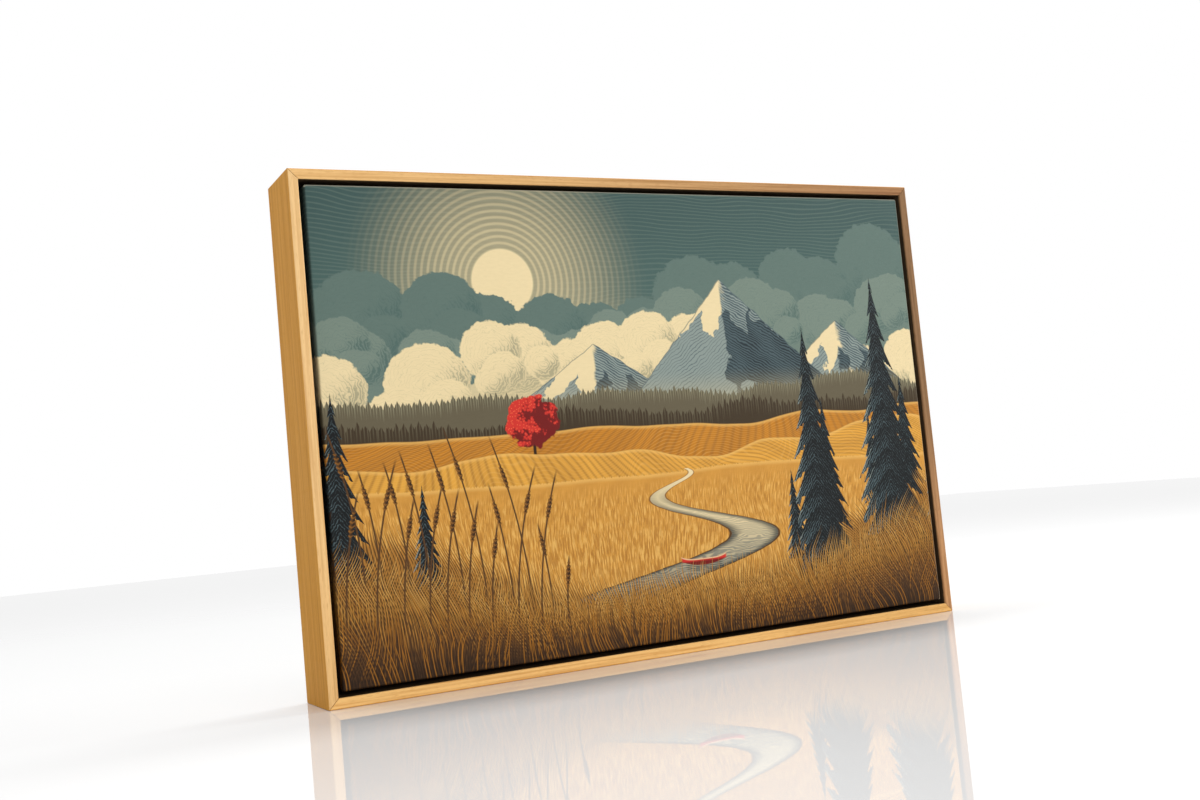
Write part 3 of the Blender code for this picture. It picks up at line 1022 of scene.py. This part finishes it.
def wrap_profile():
    """(outward, depth, along) of the cloth from the front's edge, over the side, to its hem."""
    front = CANVAS_LOW.y
    back = CANVAS_HIGH.y
    radius = WRAP_RADIUS
    quarter = math.pi / 2
    profile = []
    for turn in steps(0.0, quarter, ARC_STEPS):
        outward = radius * math.sin(turn)
        profile.append((outward, front + radius * (1 - math.cos(turn)), radius * turn))
    along = radius * quarter
    for depth in steps(front + radius, back - radius, SIDE_STEPS)[1:]:
        profile.append((radius, depth, along + depth - front - radius))
    along += back - front - 2 * radius
    for turn in steps(0.0, quarter, ARC_STEPS)[1:]:
        outward = radius * math.cos(turn)
        profile.append((outward, back - radius * (1 - math.sin(turn)), along + radius * turn))
    along += radius * quarter
    for inward in steps(0.0, RETURN_WIDTH - radius, RETURN_STEPS)[1:]:
        profile.append((-inward, back, along + inward))
    return profile


def columns(half):
    return steps(-half, half, round(half / COLUMN_PITCH))


def strip_columns(half):
    """(place along the edge, turn round the corner) of each column of a strip."""
    turns = steps(0.0, math.pi / 4, CORNER_STEPS)[1:]
    turned_back = [(-half, -turn) for turn in reversed(turns)]
    straight = [(place, 0.0) for place in columns(half)]
    return turned_back + straight + [(half, turn) for turn in turns]


def fold_rise(inward, from_corner):
    """How far the folded corner of a return stands off the layer under it."""
    clear_of_foot = min(max((inward - FOOT_OVER_CANVAS - 0.0004) / FOLD_SLOPE, 0.0), 1.0)
    fading = min(max(1.0 - from_corner / FOLD_LENGTH, 0.0), 1.0)
    return FOLD_RISE * clear_of_foot * fading**0.6


def strip_point(half, reach, place, turn, outward, depth, along, folded):
    """A point of a strip, and its place on the flat cloth.

    The point is (place along the edge, depth, height over the picture's middle).
    """
    if outward > 0:
        x = place + outward * math.sin(turn)
        height = reach + outward * math.cos(turn)
        return Vector((x, depth, height)), Vector((place + outward * turn, reach + along))
    x = place * (half + outward) / half
    if folded:
        rise = fold_rise(WRAP_RADIUS - outward, half + outward - abs(x))
        depth += rise
        # The overlap comes with the last tenth of the rise.
        x += math.copysign(FOLD_OVERLAP * max(rise / FOLD_RISE - 0.9, 0.0) * 10, x)
    return Vector((x, depth, reach + outward)), Vector((x, reach + along))


def lay_grid(bm, layer, rows):
    """Faces between rows of (place, cloth place) points, with the cloth's places as their UV."""
    made = [[(bm.verts.new(point), flat) for point, flat in row] for row in rows]
    for lower, upper in zip(made, made[1:]):
        for n in range(len(lower) - 1):
            corners = (lower[n], lower[n + 1], upper[n + 1], upper[n])
            face = bm.faces.new([vert for vert, _ in corners])
            for loop, (_, flat) in zip(face.loops, corners):
                loop[layer].uv = flat


def lay_strip(bm, layer, half, reach, turn):
    """The cloth from one edge of the front to its hem, turned about the picture's middle.

    At the corners, the cloth of the two upright strips is folded over that of the others.
    """
    folded = turn % 180 == 90
    turned = Matrix.Rotation(math.radians(turn), 3, "Y")
    flat_turn = Matrix.Rotation(math.radians(-turn), 2)
    rows = []
    for outward, depth, along in wrap_profile():
        row = []
        for place, corner_turn in strip_columns(half):
            section = (place, corner_turn, outward, depth, along)
            point, flat = strip_point(half, reach, *section, folded)
            across = turned @ Vector((point.x, 0, point.z))
            row.append((Vector((across.x, point.y, across.z + MIDDLE_Z)), flat_turn @ flat))
        rows.append(row)
    lay_grid(bm, layer, rows)


def lay_front(bm, layer, half_x, half_z):
    rows = []
    for z in columns(half_z):
        row = [(Vector((x, CANVAS_LOW.y, MIDDLE_Z + z)), Vector((x, z))) for x in columns(half_x)]
        rows.append(row)
    lay_grid(bm, layer, rows)


def bake_patch(side, inside):
    """(left, low, wide, high) on the bake map of the front, side 0, or of a strip, 1 to 4."""
    if side == 0:
        return INSIDE_PATCH if inside else FRONT_PATCH
    left, low, wide, pitch = INSIDE_STRIPS if inside else OUTSIDE_STRIPS
    return left, low + (side - 1) * pitch, wide, pitch - BAKE_GAP


def strip_under(x, z):
    """The strip that a place on the flat cloth is on, or 0 on the front."""
    if abs(x) < EDGE_X and abs(z) < EDGE_Z:
        return 0
    if abs(z) - EDGE_Z > abs(x) - EDGE_X:
        return 1 if z > 0 else 2
    return 3 if x > 0 else 4


def spot_in_patch(x, z, side, hem):
    """Where a place on the flat cloth lies in its patch, from 0 to 1 both ways."""
    along, up = (x / EDGE_X + 1) / 2, (z / EDGE_Z + 1) / 2
    if side == 0:
        return along, up
    if side < 3:
        return along, (abs(z) - EDGE_Z + hem) / STRIP_WIDTH
    return up, (abs(x) - EDGE_X + hem) / STRIP_WIDTH


def lay_bake_map(mesh, points, faces):
    """A map of the shell for baking, on which the front takes most of the room.

    The first points and faces are the outside's. The faces after the inside's are the hem.
    """
    cloth = mesh.uv_layers["cloth"].data
    made = mesh.uv_layers.new(name="OFBake").data
    for face in mesh.polygons:
        middle = sum((cloth[n].uv for n in face.loop_indices), Vector((0, 0))) / face.loop_total
        side = strip_under(*middle)
        left, low, wide, high = bake_patch(side, faces <= face.index < 2 * faces)
        for n, point in zip(face.loop_indices, face.vertices):
            hem = HEM_ON_MAP if face.index >= 2 * faces and point >= points else 0.0
            across, up = spot_in_patch(*cloth[n].uv, side, hem)
            made[n].uv = (left + wide * across, low + high * up)


def make_canvas(printed, raw):
    """The stretched cloth: front, four wrapped sides and the returns behind, one closed shell."""
    bm = bmesh.new()
    layer = bm.loops.layers.uv.new("cloth")
    half_x = HALF_WIDTH - WRAP_RADIUS
    half_z = HALF_HEIGHT - WRAP_RADIUS
    lay_front(bm, layer, half_x, half_z)
    for n in range(4):
        half, reach = (half_x, half_z) if n % 2 == 0 else (half_z, half_x)
        lay_strip(bm, layer, half, reach, 90 * n)
    bmesh.ops.remove_doubles(bm, verts=bm.verts, dist=0.000002)
    canvas = object_from(bm, "canvas_print", printed, raw)
    front_face = max(canvas.data.polygons, key=lambda face: abs(face.normal.y) * face.area)
    shell = canvas.modifiers.new("cloth", "SOLIDIFY")
    shell.thickness = CLOTH
    shell.offset = -1.0 if front_face.normal.y < 0 else 1.0
    shell.material_offset = 1
    shell.material_offset_rim = 1
    points, faces = len(canvas.data.vertices), len(canvas.data.polygons)
    made_plain(canvas)
    lay_bake_map(canvas.data, points, faces)
    smooth(canvas)
    return canvas


# What repeats


class Repeat(Group):
    """Geometry nodes that lay copies of a shape, with the sizes and the spread as named inputs."""

    def __init__(self, name, *sizes):
        fed = [("Geometry", "Geometry"), ("Shape", "Object"), ("Material", "Material")]
        fed += [(size, "Float") for size in (*sizes, "Tilt", "Seed")]
        super().__init__(name, "GeometryNodeTree", "Geometry", fed)

    def between(self, low, high, seed):
        """A random number from low to high for each copy."""
        sockets = {2: low, 3: high, 8: seed}
        return self.wire("FunctionNodeRandomValue", {"data_type": "FLOAT"}, sockets, output=1)

    def lay(self, points, angle, size=(1.0, 1.0, 1.0)):
        """Lays the shape on each point, turned that far about Y, as one real mesh."""
        tilt = self.between(-self.given["Tilt"], self.given["Tilt"], self.given["Seed"])
        turn = self.wire("FunctionNodeEulerToRotation", {}, {0: self.point(0.0, angle + tilt)})
        shape = self.wire("GeometryNodeObjectInfo", {}, {0: self.given["Shape"]}, output=4)
        laid = {"Points": points, "Instance": shape, "Rotation": turn, "Scale": size}
        copies = self.wire("GeometryNodeInstanceOnPoints", {}, laid)
        real = self.wire("GeometryNodeRealizeInstances", {}, {0: copies})
        painted = {"Geometry": real, "Material": self.given["Material"]}
        self.node("NodeGroupOutput", {}, {0: self.wire("GeometryNodeSetMaterial", {}, painted)})

    def grow(self, obj, shape, material, **sizes):
        """Gives the object the mesh that the nodes make on it, and removes the shape."""
        modifier = obj.modifiers.new(self.tree.name, "NODES")
        modifier.node_group = self.tree
        values = {"Shape": shape, "Material": material, **sizes}
        for item in self.tree.interface.items_tree:
            if item.name in values:
                modifier[item.identifier] = values[item.name]
        made_plain(obj)
        bpy.data.objects.remove(shape)
        return obj


def copies_along_lines():
    repeat = Repeat("copies_along_lines", "Spacing", "Smallest")
    lines = repeat.wire("GeometryNodeMeshToCurve", {}, {0: repeat.given["Geometry"]})
    spaced = {"Curve": lines, "Length": repeat.given["Spacing"]}
    points = repeat.wire("GeometryNodeResampleCurve", {"mode": "LENGTH"}, spaced)
    x, _, z = repeat.split(repeat.wire("GeometryNodeInputTangent"))
    size = repeat.between(repeat.given["Smallest"], 1.0, repeat.given["Seed"] + 1.0)
    repeat.lay(points, repeat.math("ARCTAN2", -z, x), size)
    return repeat


def copies_on_points():
    repeat = Repeat("copies_on_points")
    points = repeat.wire("GeometryNodeMeshToPoints", {}, {0: repeat.given["Geometry"]})
    named = {"Name": "turn"}
    repeat.lay(points, repeat.wire("GeometryNodeInputNamedAttribute", {}, named))
    return repeat


def points_mesh(name, places):
    """Loose points, each (x, y, z, turn about Y)."""
    mesh = bpy.data.meshes.new(name)
    mesh.from_pydata([place[:3] for place in places], [], [])
    mesh.attributes.new("turn", "FLOAT", "POINT").data.foreach_set("value", [p[3] for p in places])
    return linked(name, mesh)


def outline_mesh(name, inward, depth, ends):
    """Four lines round the canvas, that far in from its edge, stopped short of the corners."""
    bm = bmesh.new()
    half_x = HALF_WIDTH - inward
    half_z = HALF_HEIGHT - inward
    corners = [Vector((x * half_x, z * half_z)) for x, z in CORNERS]
    for n, end in enumerate(corners):
        start = corners[n - 1]
        short = (end - start).normalized() * ends
        line = (start + short, end - short)
        bm.edges.new([bm.verts.new((place.x, depth, MIDDLE_Z + place.y)) for place in line])
    return object_from(bm, name)


def join_rings(bm, rings):
    """Faces between each ring of points and the next. A point may fill the whole of a ring."""
    for first, second in zip(rings, rings[1:]):
        for n in range(len(first)):
            corners = (first[n], first[n - 1], second[n - 1], second[n])
            bm.faces.new(list(dict.fromkeys(corners)))


def lay_tube(bm, rings):
    """A tube through rings of places, closed at both ends."""
    made = [[bm.verts.new(place) for place in ring] for ring in rings]
    join_rings(bm, made)
    bm.faces.new(made[0])
    bm.faces.new(made[-1])


def bent_strip(name, path, width, thickness, upright=False):
    """A flat wire bent along a path in XY, or in XZ when it is upright. Its width runs across."""
    bm = bmesh.new()
    rings = []
    for n, place in enumerate(path):
        here = Vector(place)
        before = Vector(path[max(n - 1, 0)])
        after = Vector(path[min(n + 1, len(path) - 1)])
        way = ((here - before).normalized() + (after - here).normalized()).normalized()
        side = Vector((-way.y, way.x)) * thickness / 2
        ring = [(*(here + side * across), width / 2 * up) for across, up in CORNERS]
        rings.append([(x, z, y) if upright else (x, y, z) for x, y, z in ring])
    lay_tube(bm, rings)
    return object_from(bm, name)


def both_ways(path):
    """A path from its end to its middle, with the other half added."""
    return path + [(-x, y) for x, y in reversed(path) if x]


def turned_shape(name, profile, count):
    """A closed shape turned about Y, from (radius, height) points that start and end on it."""
    bm = bmesh.new()
    rings = []
    for radius, height in profile:
        if radius == 0:
            rings.append([bm.verts.new((0.0, height, 0.0))] * count)
            continue
        angles = [math.tau * n / count for n in range(count)]
        places = [(radius * math.cos(a), height, radius * math.sin(a)) for a in angles]
        rings.append([bm.verts.new(place) for place in places])
    join_rings(bm, rings)
    return object_from(bm, name)


# The fittings


def cross_cutter():
    """The cross-shaped hollow of a screw head, narrower at its bottom."""
    half = CROSS_WIDTH / 2
    arm = [Vector(place) for place in ((half, half), (half, CROSS_ARM), (-half, CROSS_ARM))]
    outline = [Matrix.Rotation(turn * math.pi / 2, 2) @ place for turn in range(4) for place in arm]
    rings = []
    for height, share in ((CROSS_DEPTH, 1.0), (-CROSS_DEPTH, CROSS_TAPER)):
        rings.append([(place.x * share, height, place.y * share) for place in outline])
    bm = bmesh.new()
    lay_tube(bm, rings)
    return object_from(bm, "cross_cutter")


def screw_shape():
    """A countersunk screw with a crossed head. Its top is at the origin and faces +Y."""
    rim = SCREW_HEAD_RADIUS
    profile = [
        (0.0, 0.0),
        (rim - SCREW_BEVEL, 0.0),
        (rim, -SCREW_BEVEL / 2),
        (rim, -SCREW_LAND),
        (SCREW_RADIUS, -SCREW_LAND - (rim - SCREW_RADIUS)),
        (SCREW_RADIUS, SCREW_POINT - SCREW_LENGTH),
        (0.0, -SCREW_LENGTH),
    ]
    screw = turned_shape("screw_shape", profile, SCREW_SIDES)
    cutter = cross_cutter()
    hollow = screw.modifiers.new("hollow", "BOOLEAN")
    hollow.object = cutter
    hollow.solver = "EXACT"
    made_plain(screw)
    bpy.data.objects.remove(cutter)
    smooth(screw, 35)
    return screw


def make_screws(material):
    names = [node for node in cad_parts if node.startswith("screw")]
    places = []
    for node in sorted(names):
        low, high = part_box(node)
        middle = (low + high) / 2
        places.append((middle.x, high.y, middle.z, 0.0))
    screws = points_mesh("screws", places)
    copies_on_points().grow(screws, screw_shape(), material, Tilt=math.pi, Seed=4.0)
    smooth(screws, 35)
    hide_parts(*names)
    return screws


def staple_shape():
    half = STAPLE_CROWN / 2
    path = [(-half, -STAPLE_LEG), (-half, -STAPLE_BEND), (STAPLE_BEND - half, 0.0)]
    return bent_strip("staple_shape", both_ways(path), STAPLE_WIDTH, STAPLE_THICKNESS)


def make_staples(material):
    depth = CANVAS_HIGH.y + STAPLE_MIDDLE
    staples = outline_mesh("staples", STAPLE_INWARD, depth, ends=0.020)
    sizes = {"Spacing": STAPLE_SPACING, "Smallest": 1.0, "Tilt": 0.16, "Seed": 7.0}
    return copies_along_lines().grow(staples, staple_shape(), material, **sizes)


def make_corner_staples(material):
    """One more staple over each corner's fold."""
    inward_x, inward_z = CORNER_STAPLE_INWARD
    depth = CANVAS_HIGH.y + FOLD_RISE + STAPLE_MIDDLE
    places = []
    for sign_x, sign_z in CORNERS:
        x = sign_x * (HALF_WIDTH - inward_x)
        z = MIDDLE_Z + sign_z * (HALF_HEIGHT - inward_z)
        places.append((x, depth, z, sign_x * sign_z * math.pi / 4))
    staples = points_mesh("corner_staples", places)
    return copies_on_points().grow(staples, staple_shape(), material, Tilt=0.2, Seed=2.0)


def make_hem_threads(material):
    """Cut ends of threads that stand out of the cloth's hem."""
    path = [(0.0, 0.0006), (0.0002, -0.0008), (0.0007, -0.0020), (0.0008, -0.0034)]
    shape = bent_strip("thread_shape", path, THREAD_THICKNESS, THREAD_THICKNESS, upright=True)
    depth = CANVAS_HIGH.y - CLOTH * 0.8
    threads = outline_mesh("hem_threads", RETURN_WIDTH, depth, ends=0.002)
    sizes = {"Spacing": THREAD_SPACING, "Smallest": 0.25, "Tilt": 0.7, "Seed": 5.0}
    return copies_along_lines().grow(threads, shape, material, **sizes)


def mitre_point(signs, inward, depth):
    """A place in the mitre of one corner, that far in from the frame's outer edges."""
    x = signs[0] * (OUTER_HIGH.x - inward)
    z = MIDDLE_Z + signs[1] * (OUTER_HIGH.z - MIDDLE_Z - inward)
    return Vector((x, depth, z))


def make_mitre_nails(material):
    """Steel wedges, bent to a V, that hold the mitres of the frame together."""
    half = MITRE_NAIL / 2
    path = both_ways([(-half, MITRE_NAIL_BEND), (MITRE_NAIL_BEND - half, 0.0), (0.0, -half * 0.8)])
    sizes = (MITRE_NAIL_WIDTH, MITRE_NAIL_THICKNESS)
    shape = bent_strip("mitre_nail_shape", path, *sizes, upright=True)
    depth = FRAME_BACK - MITRE_NAIL_DEPTH
    places = []
    for n, signs in enumerate(CORNERS):
        for inward in MITRE_NAIL_INWARD:
            places.append((*mitre_point(signs, inward, depth), math.radians(45 + 90 * n)))
    nails = points_mesh("mitre_nails", places)
    return copies_on_points().grow(nails, shape, material, Tilt=0.05, Seed=3.0)


def make_mitre_glue(material):
    """The thin line of glue in each mitre, just under the surface of the wood."""
    face = FACE_WIDTH - GLUE_INSET
    foot = FOOT_WIDTH - GLUE_INSET
    front = FRONT + GLUE_INSET
    step = FOOT_FRONT + GLUE_INSET
    back = FRAME_BACK - GLUE_INSET
    section = [(GLUE_INSET, front), (face, front), (face, step)]
    section += [(foot, step), (foot, back), (GLUE_INSET, back)]
    bm = bmesh.new()
    for signs in CORNERS:
        ring = [mitre_point(signs, *place) for place in section]
        across = Vector((signs[0], 0, -signs[1])).normalized() * GLUE_THICKNESS / 2
        lay_tube(bm, [[point + shift for point in ring] for shift in (across, -across)])
    return object_from(bm, "mitre_glue", material)


# The floor, the light and the camera


def make_floor(material):
    bm = bmesh.new()
    bmesh.ops.create_grid(bm, x_segments=8, y_segments=8, size=3.0)
    floor = object_from(bm, "floor", material)


def area_light(name, place, target, size, power):
    data = bpy.data.lights.new(name, "AREA")
    data.shape = "RECTANGLE"
    data.size, data.size_y = size
    data.energy = power
    light = linked(name, data)
    light.location = place
    light.rotation_mode = "QUATERNION"
    light.rotation_quaternion = (Vector(target) - Vector(place)).to_track_quat("-Z", "Y")


WORLD_LIGHT = 0.42
AIM = (0.0, 0.0, MIDDLE_Z)

# (name, place, what it points at, its size, its power)
LIGHTS = (
    ("front_light", (0.1, -1.75, 0.40), AIM, (1.3, 0.5), 15.0),
    ("high_light", (0.1, 0.30, 1.7), (0.1, 0.10, 0.0), (2.6, 0.3), 24.0),
    ("right_light", (1.4, -0.25, 0.8), AIM, (0.6, 0.6), 11.0),
)


def light_scene():
    """White surroundings, softer as a light than they look, and three large soft lights."""
    world = bpy.data.worlds.new("studio")
    bpy.context.scene.world = world
    world.use_nodes = True
    tree = Pattern(world.node_tree)
    rays = tree.node("ShaderNodeLightPath").outputs
    seen = tree.largest(*(Wire(tree, rays[name]) for name in ("Is Camera Ray", "Is Glossy Ray")))
    background = tree.tree.nodes["Background"].inputs
    tree.feed(background["Color"], (1.0, 1.0, 1.0))
    tree.feed(background["Strength"], tree.linear(seen, 0.0, 1.0, WORLD_LIGHT, 1.0))
    for light in LIGHTS:
        area_light(*light)


LENS = 39.3
CAMERA_PLACE = Vector((-0.4384, -0.7958, 0.1086))
CAMERA_FORWARD = Vector((0.4574, 0.8862, 0.0744))
CAMERA_UP = Vector((0.0499, -0.1091, 0.9928))


def place_camera():
    data = bpy.data.cameras.new("camera")
    data.lens = LENS
    camera = linked("camera", data)
    right = CAMERA_FORWARD.cross(CAMERA_UP).normalized()
    up = right.cross(CAMERA_FORWARD).normalized()
    turn = Matrix((right, up, -CAMERA_FORWARD)).transposed().to_4x4()
    camera.matrix_world = Matrix.Translation(CAMERA_PLACE) @ turn
    bpy.context.scene.camera = camera


# The whole picture


def dress(node, material):
    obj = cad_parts[node]
    obj.data.materials.clear()
    obj.data.materials.append(material)


# (seed, tones at its start, tones at its end, the part of its length where they change). The tones
# paint light and shade on the front faces: lightest along the left and bottom, painted shade
# towards the upper right.
MOULDINGS = {
    "left": (3.0, HONEY_OAK, CREAMY_OAK, (0.02, 0.20)),
    "bottom": (11.0, PALE_OAK, GOLDEN_OAK, (-0.05, 0.24)),
    "top": (19.0, HONEY_OAK, PAINTED_SHADE_OAK, (-0.26, 0.27)),
    "right": (27.0, HALF_PAINTED_SHADE_OAK, DEEP_PAINTED_SHADE_OAK, (0.01, 0.18)),
}

place_camera()
make_floor(pale_floor())
light_scene()
bpy.context.scene.view_settings.view_transform = "Standard"

canvas = make_canvas(printed_canvas(), raw_cotton())
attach(canvas, "root")
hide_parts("canvas")

for seed, side in enumerate(SIDES):
    dress(f"frame_{side}", moulding_wood(side, *MOULDINGS[side]))
    dress(f"bar_{side}", pine(side, 3.0 * seed))

bright = plated_steel("bright_steel", ink(186, 187, 190), ink(168, 168, 169), 0.24)
dull = plated_steel("dull_steel", ink(150, 151, 154), ink(116, 116, 117), 0.34)
zinc = plated_steel("zinc_steel", ink(222, 204, 150), ink(196, 176, 124), 0.28)
rubber = soft_rubber()
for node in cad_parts:
    if node.startswith("hanger_nail"):
        dress(node, dull)
    elif node.startswith("hanger"):
        dress(node, bright)
    elif node.startswith("bumper"):
        dress(node, rubber)

# (piece, a slot name)
FITTINGS = (
    (make_screws(zinc), "zinc_steel"),
    (make_staples(dull), "bright_steel"),
    (make_corner_staples(dull), "bright_steel"),
    (make_mitre_nails(dull), "bright_steel"),
    (make_mitre_glue(dried_glue()), "frame_wood"),
    (make_hem_threads(cotton_thread()), "printed_canvas"),
)
for piece, slot in FITTINGS:
    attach(piece, "root")
